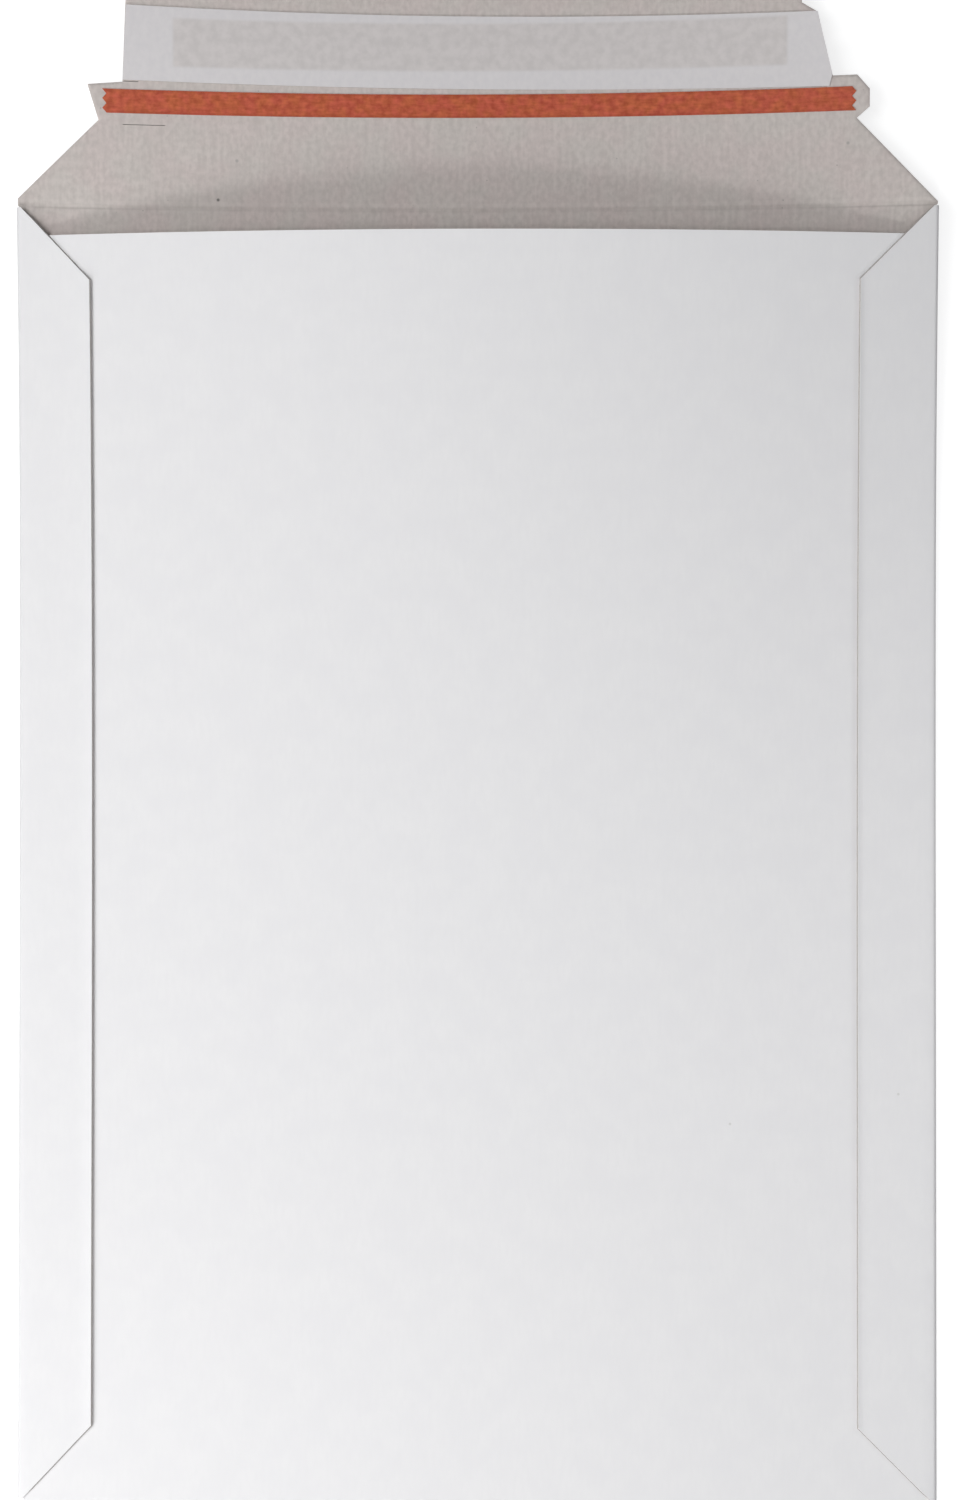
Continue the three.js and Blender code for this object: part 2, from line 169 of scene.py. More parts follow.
# Grey fibre
GRAIN_SIZE = 1.3 * MM
GRAIN_STRETCH = (1, 0.75, 1)
STREAK_SIZE = 1.2 * MM
STREAK_STRETCH = (1, 0.1, 1)
FELT_DEPTH = 0.02 * MM
FELT_TINT_SIZE = 12 * MM
PINKISH_FELT = ((0.566, 0.501, 0.4785), (0.687, 0.611, 0.585))
GREENISH_FELT = ((0.555, 0.511, 0.4815), (0.673, 0.623, 0.589))
FELT_CLOUD_SIZE = 7 * MM
FELT_CLOUD_SPAN = (0.2, 0.9)
FELT_CLOUD_SHARE = 0.35
FELT_CLOUD = (0.583, 0.534, 0.508)
FLECK_SPACING = 3.5 * MM
FLECK_SPAN = (0.075, 0.035)  # from a fleck's rim to its core, as shares of the spacing
FLECK_CHOICE = (0.7, 0.75)  # which of the places have a fleck
FLECK_SHARE = 0.5
FLECK = (0.25, 0.235, 0.225)
# The crease's darker line is painted shade and its lighter line a painted highlight.
CREASE_SHADE_HALF_WIDTH = 0.9 * MM  # of the painted shade line along the crease
PAINTED_CREASE_SHADE = (0.3, 0.28, 0.265)
CREASE_HIGHLIGHT_RISE = 1.4 * MM  # from the crease up to the painted highlight line
CREASE_HIGHLIGHT_HALF_WIDTH = 0.7 * MM
PAINTED_CREASE_HIGHLIGHT = (0.8, 0.74, 0.7)
LINE_CORE = 0.2 * MM  # half width at which a line has its full tone
LINE_SHARE = 0.12
FIBRE_SPECK_RADIUS = 0.6 * MM
DARK_SPECKS = ((-70.8 * MM, 355.5 * MM),)
DARK_SPECK = (0.2, 0.19, 0.18)
FAINT_SPECKS = ((-65.7 * MM, 366.2 * MM), (100.7 * MM, 369.8 * MM))
FAINT_SPECK = (0.45, 0.42, 0.4)

# Cut edge
CORE_NOISE_SIZE = 0.6 * MM
CORE_DARK = (0.42, 0.395, 0.38)
CORE_LIGHT = (0.54, 0.51, 0.49)
EDGE_LINING = (0.85, 0.85, 0.85)
LINING_PLY = (0.1, 0.2)  # where the lining gives way to the core, as shares of the board's thickness
BURR_SIZE = 0.25 * MM
BURR_DEPTH = 0.03 * MM

# Red tape
TAPE_STREAK_SIZE = 0.7 * MM
TAPE_STREAK_STRETCH = (0.2, 1, 1)
TAPE_PATCH_SIZE = 1.8 * MM
TAPE_TINT_SIZE = 4 * MM
TAPE_ORANGE = ((0.363, 0.0665, 0.0225), (0.606, 0.1475, 0.0575))
TAPE_RED = ((0.381, 0.057, 0.027), (0.613, 0.126, 0.071))
TAPE_EDGE = (0.27, 0.05, 0.022)
TAPE_EDGE_START = 0.9 * MM  # from the edge
TAPE_EDGE_FULL = 0.2 * MM
TAPE_EDGE_SHARE = 0.3
TAPE_ROUGHNESS = (0.42, 0.56)
TAPE_DEPTH = 0.02 * MM

# Release liner, adhesive and glue
BAND_FADE = 0.6 * MM  # of the adhesive's outline through the liner
LINER_MOTTLE_SIZE = 1.6 * MM
LINER_MOTTLE_STRETCH = (1, 0.7, 1)
LINER_PAPER = ((0.686, 0.664, 0.675), (0.722, 0.698, 0.704))
LINER_BLOTCH_SIZE = 2.6 * MM
LINER_STUCK = ((0.6, 0.567, 0.558), (0.666, 0.629, 0.62))
LINER_ROUGHNESS = (0.36, 0.46)
LINER_DEPTH = 0.01 * MM
TACK_RIPPLE_SIZE = 1.5 * MM
TACK = ((0.52, 0.48, 0.44), (0.6, 0.56, 0.52))
GLUE_BLISTER_SIZE = 0.8 * MM
GLUE = ((0.62, 0.55, 0.42), (0.72, 0.65, 0.52))
SKIN_DEPTH = 0.03 * MM

# Studio lamps, each as its place, its size and its power in watts
LAMPS = {
    "overhead_softbox": ((-0.2, -0.15, 1.2), 0.8, 2.6),
    "left_softbox": ((-0.35, 0.1, 0.6), 0.35, 1.86),
    "corner_lamp": ((-0.4, -0.45, 0.35), 0.3, 1.52),
    "right_lamp": ((0.36, -0.03, 0.15), 0.1, 0.125),
    "low_lamp": ((0.05, -0.55, 0.52), 0.1, 0.89),
}
FILL_COLOUR = (0.94, 0.96, 1, 1)
FILL_STRENGTH = 0.14
WHITE = (1, 1, 1, 1)
WHITE_STRENGTH = 1.0

# Floor
FLOOR_SIZE = 3.0
FLOOR_DROP = 0.05 * MM
FLOOR_GREY = (0.5, 0.5, 0.5, 1)
FLOOR_NEAR, FLOOR_FAR = 0.35, 0.85  # distances from the middle between which it grows white
FLOOR_GLOW = 0.75  # within the nearer distance

# Camera, placed by across, row and height
IMAGE_HEIGHT = 1500
FOCAL_PIXELS = 2559.2
SENSOR = 36.0
CAMERA_PLACE = (11.27 * MM, 196.87 * MM, 0.7)
CAMERA_YAW = math.radians(-0.783)
CAMERA_PITCH = math.radians(-0.677)
CAMERA_ROLL = math.radians(-0.032)
CAMERA_CLIP = 0.01

# Sizes that follow from the ones above
bottom_fold_outer = BOTTOM_FOLD_RADIUS + CALIPER
bottom_arc = math.pi * (BOTTOM_FOLD_RADIUS + CALIPER / 2)
pocket_gap = 2 * BOTTOM_FOLD_RADIUS
side_fold_inner = (pocket_gap + CALIPER + SEAM_GAP) / 2
side_fold_outer = side_fold_inner + CALIPER
side_arc = math.pi * (side_fold_inner + CALIPER / 2)
fold_start = WIDTH / 2 - side_fold_outer
fold_end = fold_start + side_arc
seam_half = fold_start - PANEL_CLEARANCE
crease_low = HEIGHT - CREASE_WIDTH / 2
crease_high = HEIGHT + CREASE_WIDTH / 2
side_low = bottom_fold_outer + FLAP_END_GAP
mouth_row = 2 * bottom_fold_outer - bottom_arc - MOUTH
tape_low, tape_high = (corner.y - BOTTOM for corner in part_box("tear_tape"))
tape_left, tape_right = (corner.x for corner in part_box("tear_tape"))
notch = tape_low - NOTCH_DROP
corner_half = WIDTH / 2 - CORNER_INSET
notch_half = corner_half - SHOULDER_TAPER
end_half = notch_half - END_INSET
liner_low = tape_high + LINER_GAP
liner_left = LINER_EDGE_MARGIN - end_half
liner_right = end_half - LINER_EDGE_MARGIN
left_tab_tip = notch + LEFT_TAB_LENGTH
left_tab_top = left_tab_tip + LEFT_TAB_SLOPE
right_tab_low = notch + RIGHT_TAB_LOW_CORNER
right_tab_high = right_tab_low + RIGHT_TAB_STRAIGHT
right_tab_top = right_tab_high + RIGHT_TAB_HIGH_CORNER
right_shoulder = liner_low + LINER_WIDTH + LINER_SKEW * end_half
left_shoulder = END - END_SHOULDER_RISE
lower_slit = notch - LOWER_SLIT_DROP
lower_slit_start = LOWER_SLIT_INSET - notch_half
glue_clearance = (SEAM_GAP - GLUE_THICKNESS) / 2  # on either side of the glue
left_end = LEFT_END_LEAN - end_half
right_end = end_half - RIGHT_END_LEAN

# Slits that start the tear, each as its left and right ends and its two rows
slits = (
    (-notch_half, UPPER_SLIT_LENGTH - end_half, left_tab_top, left_tab_top + SLIT_KERF),
    (lower_slit_start, lower_slit_start + LOWER_SLIT_LENGTH, lower_slit, lower_slit + SLIT_KERF),
)

# Edge of the closing flap as (across, row), from its right corner round the end to its left corner
flap_outline = (
    (corner_half, HEIGHT + RIGHT_CORNER_RISE),
    (notch_half, notch),
    (notch_half + RIGHT_TAB_REACH, right_tab_low),
    (notch_half + RIGHT_TAB_REACH, right_tab_high),
    (notch_half, right_tab_top),
    (end_half, right_tab_top),
    (right_end, right_shoulder),
    (right_end - END_SHOULDER_REACH, right_shoulder + END_SHOULDER_RISE),
    (right_end - END_SHOULDER_REACH, END),
    (left_end + END_SHOULDER_REACH, END),
    (left_end, left_shoulder),
    (-end_half, left_tab_top),
    (-notch_half - LEFT_TAB_REACH, left_tab_tip),
    (-notch_half, notch),
    (-corner_half, HEIGHT + LEFT_CORNER_RISE),
)
flap_sides = [(Vector(start), Vector(end)) for start, end in zip(flap_outline, flap_outline[1:])]


def curl(y, start, full, power):
    """Growth of a curl along the envelope, from nothing at its start to one at its full row."""
    return (max(0, y - start) / (full - start)) ** power


def address_under(x, y):
    """Height of the outer face of the address panel and of the closing flap that carries on from it."""
    return SIDE_LIFT * curl(y, FLAT_LENGTH, HEIGHT, CURL_POWER) * (x / (WIDTH / 2)) ** 2


def seam_top(x, y):
    """Height of the outer face of the seam panel, which bows up over the pocket."""
    bow = max(0, 1 - (x / seam_half) ** 2)
    rise = MOUTH_OPENING * curl(y, SEAM_FLAT_LENGTH, MOUTH, MOUTH_CURL_POWER)
    pocket = pocket_gap + rise * bow
    return address_under(x, y) + CALIPER + pocket + CALIPER


def caliper_at(y):
    """Board thickness in the open, less the rounded groove along the crease."""
    from_crease = min(1, abs(y - HEIGHT) / (CREASE_WIDTH / 2))
    return CALIPER - CREASE_DEPTH * (1 + math.cos(math.pi * from_crease)) / 2


def gap_to(point, start, end):
    """Distance of a point of the flat blank from a straight edge."""
    foot, share = geometry.intersect_point_line(point, start, end)
    if share < 0:
        foot = start
    elif share > 1:
        foot = end
    return (point - foot.xy).length


def crush(across, row):
    """How far the closing flap's inner face is rounded down beside its cut edge."""
    if row < crease_high:
        return 0
    gap = min(gap_to(Vector((across, row)), start, end) for start, end in flap_sides)
    return EDGE_CRUSH * max(0, 1 - gap / CRUSH_WIDTH) ** 2


def kerf_row(across, row, face):
    """Row of a point once a knife's slit has closed up towards the outside."""
    for left, right, low, high in slits:
        beside = left - CUT_TOLERANCE < across < right + CUT_TOLERANCE
        middle = (low + high) / 2
        if beside and abs(row - middle) < SLIT_KERF / 2 + CUT_TOLERANCE:
            return middle + (row - middle) * (1 - SLIT_CLOSING * (1 - face))
    return row


def edge_lift(x, row):
    """How far a side flap springs up between its glue and its free edge."""
    width, lift, power = LEFT_FLAP_WIDTH, LEFT_EDGE_LIFT, LEFT_EDGE_POWER
    if x > 0:
        width, lift, power = RIGHT_FLAP_WIDTH, RIGHT_EDGE_LIFT, RIGHT_EDGE_POWER
    from_edge = abs(x) - (WIDTH / 2 - width)
    share = BOTTOM_LIFT_SHARE + (1 - BOTTOM_LIFT_SHARE) * row / HEIGHT
    return lift * share * max(0, 1 - from_edge / GLUE_INSET) ** power


def fold_board(across, row, face):
    """Place on the folded board of a point of the flat blank.

    Face is 0 on the white outside and 1 on the grey inside.
    """
    bottom_angle = (bottom_fold_outer - row) / (bottom_arc / math.pi)
    if bottom_angle > math.pi:
        y = 2 * bottom_fold_outer - bottom_arc - row
        return across, y, seam_top(across, y) - face * CALIPER
    if bottom_angle > 0:
        radius = bottom_fold_outer - face * CALIPER
        y = bottom_fold_outer - radius * math.sin(bottom_angle)
        return across, y, bottom_fold_outer - radius * math.cos(bottom_angle)
    beyond = abs(across) - fold_start
    if beyond <= 0 or row > crease_low + CUT_TOLERANCE:
        thickness = caliper_at(row) - crush(across, row)
        return across, kerf_row(across, row, face), address_under(across, row) + face * thickness
    if beyond < side_arc:
        angle = beyond / (side_arc / math.pi)
        radius = side_fold_outer - face * CALIPER
        height = address_under(fold_start, row) + side_fold_outer - radius * math.cos(angle)
        return math.copysign(fold_start + radius * math.sin(angle), across), row, height
    x = math.copysign(fold_start - (beyond - side_arc), across)
    return x, row, seam_top(x, row) + SEAM_GAP + edge_lift(x, row) + (1 - face) * CALIPER


def on_flap(across, row, height):
    """Place of a point of a strip stuck on the closing flap, at a height above its inner face."""
    return across, row, address_under(across, row) + CALIPER + height


def in_seam(across, row, face):
    """Place of a point of the glue between the seam panel and a side flap."""
    return across, row, seam_top(across, row) + glue_clearance + face * GLUE_THICKNESS


def spaced(start, end, pitch):
    """Even steps from start up to end."""
    count = max(1, math.ceil((end - start) / pitch))
    return [start + (end - start) * k / count for k in range(count + 1)]


def cut_sheet(outline, rows, columns):
    """Flat sheet with an outline of (across, row) corners, divided along rows and columns."""
    sheet = bmesh.new()
    sheet.faces.new([sheet.verts.new((across, row, 0)) for across, row in outline])
    for normal, places in ((Vector((0, 1, 0)), rows), (Vector((1, 0, 0)), columns)):
        for place in sorted(set(places)):
            everything = sheet.verts[:] + sheet.edges[:] + sheet.faces[:]
            bmesh.ops.bisect_plane(
                sheet, geom=everything, dist=CUT_TOLERANCE, plane_co=normal * place, plane_no=normal
            )
    return sheet


def cut_beside(sheet, start, end, offset):
    """Divides the faces along a straight edge of a flat sheet by a line at an offset inside it."""
    along = (end - start).normalized()
    inward = Vector((-along.y, along.x, 0))
    near = []
    for face in sheet.faces:
        middle = face.calc_center_median()
        if middle.y > HEIGHT and gap_to(middle.xy, start, end) < CRUSH_REACH:
            near.append(face)
    edges = {edge for face in near for edge in face.edges}
    verts = {vert for face in near for vert in face.verts}
    bmesh.ops.bisect_plane(
        sheet,
        geom=[*verts, *edges, *near],
        dist=CUT_TOLERANCE,
        plane_co=start.to_3d() + inward * offset,
        plane_no=inward,
    )


def open_slit(sheet, left, right, low, high):
    """Takes the faces inside a slit out of a flat sheet."""
    inside = []
    for face in sheet.faces:
        middle = face.calc_center_median()
        if left < middle.x < right and low < middle.y < high:
            inside.append(face)
    bmesh.ops.delete(sheet, geom=inside, context="FACES")


def slanted_cuts(sheet):
    """Points on the side flaps' cut edges, and how far the slanting cut takes each out on the inside."""
    cuts = []
    for vert in sheet.verts:
        if abs(vert.co.x) < fold_end + CUT_TOLERANCE or not vert.is_boundary:
            continue
        inward = []
        for edge in vert.link_edges:
            if edge.is_boundary:
                along = (edge.verts[1].co - edge.verts[0].co).normalized()
                normal = Vector((-along.y, along.x, 0))
                middle = edge.link_faces[0].calc_center_median()
                inward.append(normal if normal.dot(middle - vert.co) > 0 else -normal)
        first, second = inward
        cuts.append((vert, -CORE_RUNOUT * (first + second) / (1 + first.dot(second))))
    return cuts


def thicken(sheet, place, cuts=()):
    """Gives a flat sheet its second face and its cut edges, then lays every point in its place.

    The map called sheet keeps the flat sheet's across and row, and ply runs from 0 outside to 1 inside.
    """
    for vert in sheet.verts:
        vert.co.z = 1
    extruded = bmesh.ops.extrude_face_region(sheet, geom=sheet.faces[:], use_keep_orig=True)
    for vert in extruded["geom"]:
        if isinstance(vert, bmesh.types.BMVert):
            vert.co.z = 0
    for vert, runout in cuts:
        vert.co += runout
    bmesh.ops.recalc_face_normals(sheet, faces=sheet.faces[:])
    flat_map = sheet.loops.layers.uv.new("sheet")
    ply = sheet.verts.layers.float.new("ply")
    for face in sheet.faces:
        face.smooth = True
        facing = INSIDE if face.normal.z > 0 else OUTSIDE
        face.material_index = CUT if abs(face.normal.z) < UPRIGHT_LIMIT else facing
        for loop in face.loops:
            loop[flat_map].uv = loop.vert.co.xy
    for vert in sheet.verts:
        vert[ply] = vert.co.z
        x, y, z = place(*vert.co)
        vert.co = x, BOTTOM + y, z
    for edge in sheet.edges:
        kinds = {face.material_index for face in edge.link_faces}
        edge.smooth = len(kinds) == 1 and edge.calc_face_angle() < SHARP_ANGLE


def add_piece(name, sheet, materials, slot, *nodes):
    """Makes a finished sheet an object of the envelope in place of its plain solid."""
    mesh = bpy.data.meshes.new(name)
    sheet.to_mesh(mesh)
    sheet.free()
    for material in materials:
        mesh.materials.append(material)
    piece = bpy.data.objects.new(name, mesh)
    bpy.context.collection.objects.link(piece)
    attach(piece, "root")
    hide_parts(*nodes)


def node(material, kind, values=None, **settings):
    """Adds a shader node with its settings and the values of its unlinked inputs."""
    made = material.node_tree.nodes.new(kind)
    for name, value in settings.items():
        setattr(made, name, value)
    for name, value in (values or {}).items():
        made.inputs[name].default_value = value
    return made


def link(material, source, target):
    """Joins a shader node's output to another's input."""
    material.node_tree.links.new(source, target)


def new_finish(name, **values):
    """A material and its main shader, with values by the names of the shader's inputs."""
    material = bpy.data.materials.new(name)
    material.use_nodes = True
    shader = material.node_tree.nodes["Principled BSDF"]
    for key, value in values.items():
        shader.inputs[key.replace("_", " ")].default_value = value
    return material, shader


def flat_place(material):
    """Across and row on the flat sheet, in metres."""
    return node(material, "ShaderNodeUVMap", uv_map="sheet").outputs["UV"]


def noise(material, place, size, detail=3.0, stretch=(1, 1, 1)):
    """Cloudy noise between 0 and 1, with clouds about size across.

    They are drawn out along an axis whose stretch is below 1.
    """
    mapping = node(material, "ShaderNodeMapping", {"Scale": stretch})
    link(material, place, mapping.inputs["Vector"])
    clouds = node(material, "ShaderNodeTexNoise", {"Scale": 1 / size, "Detail": detail})
    link(material, mapping.outputs["Vector"], clouds.inputs["Vector"])
    return clouds.outputs["Fac"]


def ramp(material, value, low, high, start=0.0, end=1.0):
    """Smooth step of a value, from start at low to end at high."""
    step = node(
        material,
        "ShaderNodeMapRange",
        {"From Min": low, "From Max": high, "To Min": start, "To Max": end},
        interpolation_type="SMOOTHSTEP",
    )
    link(material, value, step.inputs["Value"])
    return step.outputs["Result"]


def blend(material, factor, first, second):
    """Mixes two colours, each written or taken from another node."""
    mix = node(material, "ShaderNodeMix", data_type="RGBA")
    link(material, factor, mix.inputs["Factor"])
    for name, colour in (("A", first), ("B", second)):
        socket = next(s for s in mix.inputs if s.name == name and s.type == "RGBA")
        if isinstance(colour, tuple):
            socket.default_value = (*colour, 1)
        else:
            link(material, colour, socket)
    return next(s for s in mix.outputs if s.type == "RGBA")


def combine(material, operation, first, second):
    """Arithmetic on two values, each written or taken from another node."""
    sum_node = node(material, "ShaderNodeMath", operation=operation)
    for socket, value in zip(sum_node.inputs, (first, second)):
        if isinstance(value, (int, float)):
            socket.default_value = value
        else:
            link(material, value, socket)
    return sum_node.outputs["Value"]


def emboss(material, shader, height, depth):
    """Raises a surface by a height between 0 and 1 times a depth."""
    bump = node(material, "ShaderNodeBump", {"Strength": 1.0, "Distance": depth})
    link(material, height, bump.inputs["Height"])
    link(material, bump.outputs["Normal"], shader.inputs["Normal"])


def specks(material, place, centres, radius):
    """One near any of the given places on the flat sheet, and nothing elsewhere."""
    found = 0.0
    for across, row in centres:
        gap = node(material, "ShaderNodeVectorMath", {1: (across, row, 0)}, operation="DISTANCE")
        link(material, place, gap.inputs[0])
        near = ramp(material, gap.outputs["Value"], radius, radius * SPECK_CORE)
        found = combine(material, "MAXIMUM", near, found)
    return found


def mottled(material, factor, shades):
    """Colour between a darker and a lighter shade."""
    darker, lighter = shades
    return blend(material, factor, darker, lighter)


def white_lining():
    """Smooth white lining on the board's outside: faint clouding and fibres, fine tooth and a few specks."""
    material, shader = new_finish("white_lining", Specular_IOR_Level=0.25)
    place = flat_place(material)
    clouding = noise(material, place, LINING_CLOUD_SIZE, detail=4.0)
    fibres = noise(material, place, LINING_FIBRE_SIZE, detail=4.0, stretch=LINING_FIBRE_STRETCH)
    tooth = noise(material, place, LINING_TOOTH_SIZE, detail=4.0)
    colour = blend(material, ramp(material, clouding, *SOFT_SPAN), LINING_DULL, LINING_BRIGHT)
    fibres = ramp(material, fibres, *LINING_FIBRE_SPAN, end=LINING_FIBRE_SHARE)
    colour = blend(material, fibres, colour, LINING_FIBRE)
    across, row = PANEL_SPECK
    on_panel = (across, 2 * bottom_fold_outer - bottom_arc - row)
    across, row = FLAP_SPECK
    on_right_flap = (fold_end + fold_start - across, row)
    marks = specks(material, place, (on_panel, on_right_flap), LINING_SPECK_RADIUS)
    colour = blend(material, marks, colour, LINING_SPECK)
    link(material, colour, shader.inputs["Base Color"])
    link(material, ramp(material, tooth, *WIDE_SPAN, *LINING_ROUGHNESS), shader.inputs["Roughness"])
    emboss(material, shader, tooth, LINING_TOOTH_DEPTH)
    return material


def painted_crease_light(material, place):
    """Share of the painted shade line along the crease, and of the painted highlight line beside it."""
    split = node(material, "ShaderNodeSeparateXYZ")
    link(material, place, split.inputs["Vector"])
    marks = []
    for row, half_width in ((HEIGHT, CREASE_SHADE_HALF_WIDTH), (HEIGHT + CREASE_HIGHLIGHT_RISE, CREASE_HIGHLIGHT_HALF_WIDTH)):
        gap = combine(material, "SUBTRACT", split.outputs["Y"], row)
        gap = combine(material, "ABSOLUTE", gap, 0.0)
        line = ramp(material, gap, half_width, LINE_CORE)
        marks.append(combine(material, "MULTIPLY", line, LINE_SHARE))
    return marks


def flecks(material, place):
    """Share of dark flecks, scattered over a few of many evenly spread places."""
    cells = node(material, "ShaderNodeTexVoronoi", {"Scale": 1 / FLECK_SPACING})
    link(material, place, cells.inputs["Vector"])
    chosen = node(material, "ShaderNodeSeparateColor")
    link(material, cells.outputs["Color"], chosen.inputs["Color"])
    few = ramp(material, chosen.outputs["Red"], *FLECK_CHOICE, end=FLECK_SHARE)
    return combine(material, "MULTIPLY", ramp(material, cells.outputs["Distance"], *FLECK_SPAN), few)


def grey_fibre():
    """Uncoated recycled board inside, felted and streaked along the envelope.

    It has darker flecks and specks, and the painted shade and painted highlight lines along the crease.
    """
    material, shader = new_finish("grey_fibre", Roughness=0.85, Specular_IOR_Level=0.15)
    place = flat_place(material)
    grain = noise(material, place, GRAIN_SIZE, detail=5.0, stretch=GRAIN_STRETCH)
    streaks = noise(material, place, STREAK_SIZE, stretch=STREAK_STRETCH)
    felt = combine(material, "ADD", grain, combine(material, "MULTIPLY", streaks, STREAK_SHARE))
    spread = ramp(material, felt, *SUM_SPAN)
    tint = ramp(material, noise(material, place, FELT_TINT_SIZE), *QUICK_SPAN)
    pinkish = mottled(material, spread, PINKISH_FELT)
    greenish = mottled(material, spread, GREENISH_FELT)
    clouding = noise(material, place, FELT_CLOUD_SIZE)
    clouding = ramp(material, clouding, *FELT_CLOUD_SPAN, end=FELT_CLOUD_SHARE)
    crease_shade, crease_highlight = painted_crease_light(material, place)
    dark = specks(material, place, DARK_SPECKS, FIBRE_SPECK_RADIUS)
    faint = specks(material, place, FAINT_SPECKS, FIBRE_SPECK_RADIUS)
    colour = blend(material, tint, pinkish, greenish)
    for share, shade in (
        (clouding, FELT_CLOUD),
        (flecks(material, place), FLECK),
        # painted shade and painted highlight along the crease
        (crease_shade, PAINTED_CREASE_SHADE),
        (crease_highlight, PAINTED_CREASE_HIGHLIGHT),
        (dark, DARK_SPECK),
        (faint, FAINT_SPECK),
    ):
        colour = blend(material, share, colour, shade)
    link(material, colour, shader.inputs["Base Color"])
    emboss(material, shader, felt, FELT_DEPTH)
    return material


def cut_edge():
    """Die-cut edge of the board: the thin white lining beside the rough grey core."""
    material, shader = new_finish("cut_edge", Roughness=0.9, Specular_IOR_Level=0.1)
    place = flat_place(material)
    depth = node(material, "ShaderNodeAttribute", attribute_name="ply").outputs["Fac"]
    core = blend(material, noise(material, place, CORE_NOISE_SIZE), CORE_DARK, CORE_LIGHT)
    colour = blend(material, ramp(material, depth, *LINING_PLY), EDGE_LINING, core)
    link(material, colour, shader.inputs["Base Color"])
    emboss(material, shader, noise(material, place, BURR_SIZE), BURR_DEPTH)
    return material


def red_tape():
    """Satin film in an orange red, mottled and streaked along its length and darker along its two edges."""
    material, shader = new_finish("red_tape", Specular_IOR_Level=0.25)
    place = flat_place(material)
    streaks = noise(material, place, TAPE_STREAK_SIZE, detail=4.0, stretch=TAPE_STREAK_STRETCH)
    patches = noise(material, place, TAPE_PATCH_SIZE, detail=4.0)
    mottle = combine(material, "ADD", patches, combine(material, "MULTIPLY", streaks, STREAK_SHARE))
    spread = ramp(material, mottle, *SUM_SPAN)
    tint = ramp(material, noise(material, place, TAPE_TINT_SIZE), *QUICK_SPAN)
    orange = mottled(material, spread, TAPE_ORANGE)
    red = mottled(material, spread, TAPE_RED)
    colour = blend(material, tint, orange, red)
    split = node(material, "ShaderNodeSeparateXYZ")
    link(material, place, split.inputs["Vector"])
    middle = (tape_low + tape_high) / 2
    half_width = (tape_high - tape_low) / 2
    off_middle = combine(material, "SUBTRACT", split.outputs["Y"], middle)
    off_middle = combine(material, "ABSOLUTE", off_middle, 0.0)
    edge_start = half_width - TAPE_EDGE_START
    edge = ramp(material, off_middle, edge_start, half_width - TAPE_EDGE_FULL, end=TAPE_EDGE_SHARE)
    colour = blend(material, edge, colour, TAPE_EDGE)
    link(material, colour, shader.inputs["Base Color"])
    link(material, ramp(material, patches, *WIDE_SPAN, *TAPE_ROUGHNESS), shader.inputs["Roughness"])
    emboss(material, shader, mottle, TAPE_DEPTH)
    return material


def glazed_liner(adhesive_low, adhesive_high):
    """Thin glazed paper, through which the adhesive below shows as a warmer and greyer band."""
    material, shader = new_finish("glazed_liner", Specular_IOR_Level=0.45)
    place = flat_place(material)
    split = node(material, "ShaderNodeSeparateXYZ")
    link(material, place, split.inputs["Vector"])
    band = 1.0
    for axis, low, high in zip("XY", adhesive_low, adhesive_high):
        start = ramp(material, split.outputs[axis], low - BAND_FADE, low + BAND_FADE)
        stop = ramp(material, split.outputs[axis], high + BAND_FADE, high - BAND_FADE)
        band = combine(material, "MULTIPLY", combine(material, "MULTIPLY", start, stop), band)
    mottle = noise(material, place, LINER_MOTTLE_SIZE, stretch=LINER_MOTTLE_STRETCH)
    paper = mottled(material, ramp(material, mottle, *EVEN_SPAN), LINER_PAPER)
    blotches = noise(material, place, LINER_BLOTCH_SIZE, detail=4.0)
    stuck = mottled(material, ramp(material, blotches, *SOFT_SPAN), LINER_STUCK)
    link(material, blend(material, band, paper, stuck), shader.inputs["Base Color"])
    link(material, ramp(material, mottle, *WIDE_SPAN, *LINER_ROUGHNESS), shader.inputs["Roughness"])
    emboss(material, shader, mottle, LINER_DEPTH)
    return material


def tacky_film():
    """Pale translucent adhesive with a faint ripple."""
    material, shader = new_finish("tacky_film", Roughness=0.3, Specular_IOR_Level=0.5)
    ripple = noise(material, flat_place(material), TACK_RIPPLE_SIZE)
    link(material, mottled(material, ripple, TACK), shader.inputs["Base Color"])
    emboss(material, shader, ripple, SKIN_DEPTH)
    return material


def cured_glue():
    """Cream glue, dried with a fine blistered skin."""
    material, shader = new_finish("cured_glue", Roughness=0.45, Specular_IOR_Level=0.4)
    blister = noise(material, flat_place(material), GLUE_BLISTER_SIZE)
    link(material, mottled(material, blister, GLUE), shader.inputs["Base Color"])
    emboss(material, shader, blister, SKIN_DEPTH)
    return material


def blank_side(flap_width):
    """One side of the flat blank from the seam panel's mouth to the closing crease, as (distance, row)."""
    flap_edge = fold_end + fold_start - (WIDTH / 2 - flap_width)
    return [
        (seam_half, mouth_row),
        (seam_half, bottom_fold_outer),
        (fold_start, bottom_fold_outer),
        (fold_start, side_low),
        (fold_end, side_low),
        (flap_edge, side_low + FLAP_CHAMFER),
        (flap_edge, crease_low - FLAP_CHAMFER),
        (fold_end, crease_low),
        (fold_start, crease_low),
        (corner_half, HEIGHT),
    ]


